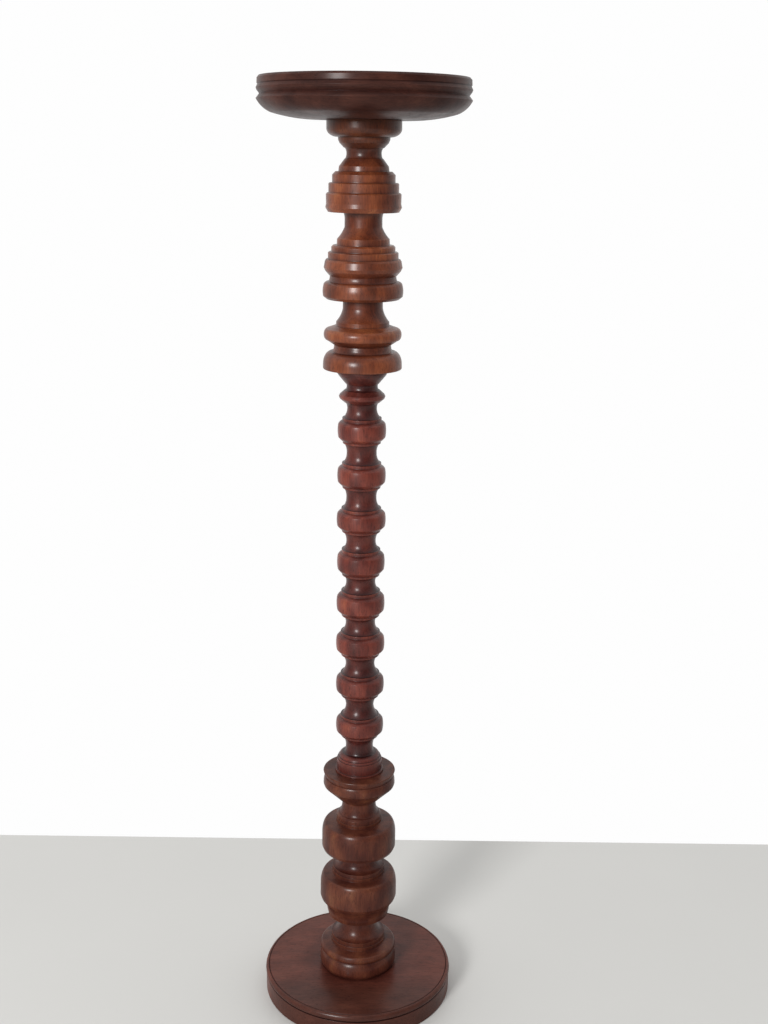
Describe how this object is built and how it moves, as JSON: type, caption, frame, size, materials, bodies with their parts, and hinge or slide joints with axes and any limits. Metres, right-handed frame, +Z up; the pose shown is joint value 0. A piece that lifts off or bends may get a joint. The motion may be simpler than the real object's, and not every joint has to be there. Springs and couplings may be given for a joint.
{
  "type": "turned wooden pedestal",
  "caption": "Tall turned wooden pedestal: a moulded base disc, a column of drums, barrels and stepped bells, and a round top dish for a plant or ornament.",
  "frame": {"origin": "centre of the base disc's underside, on the floor", "axes": "+Z up along the turning axis; the piece is round, so X and Y are free, with -Y towards the viewer"},
  "size_m": [0.2006, 0.2006, 0.95],
  "materials": {
    "base_wood": "varnished red-brown hardwood, satin gloss",
    "lower_wood": "varnished brown hardwood, glossy",
    "shaft_wood": "varnished red-brown hardwood, glossy",
    "upper_wood": "varnished orange-brown hardwood, glossy",
    "dish_wood": "varnished dark brown hardwood, satin gloss"
  },
  "bodies": {
    "root": {"base_disc": "base_wood", "lower_column": "lower_wood", "beaded_shaft": "shaft_wood", "upper_column": "upper_wood", "top_dish": "dish_wood"}
  },
  "joints": []
}
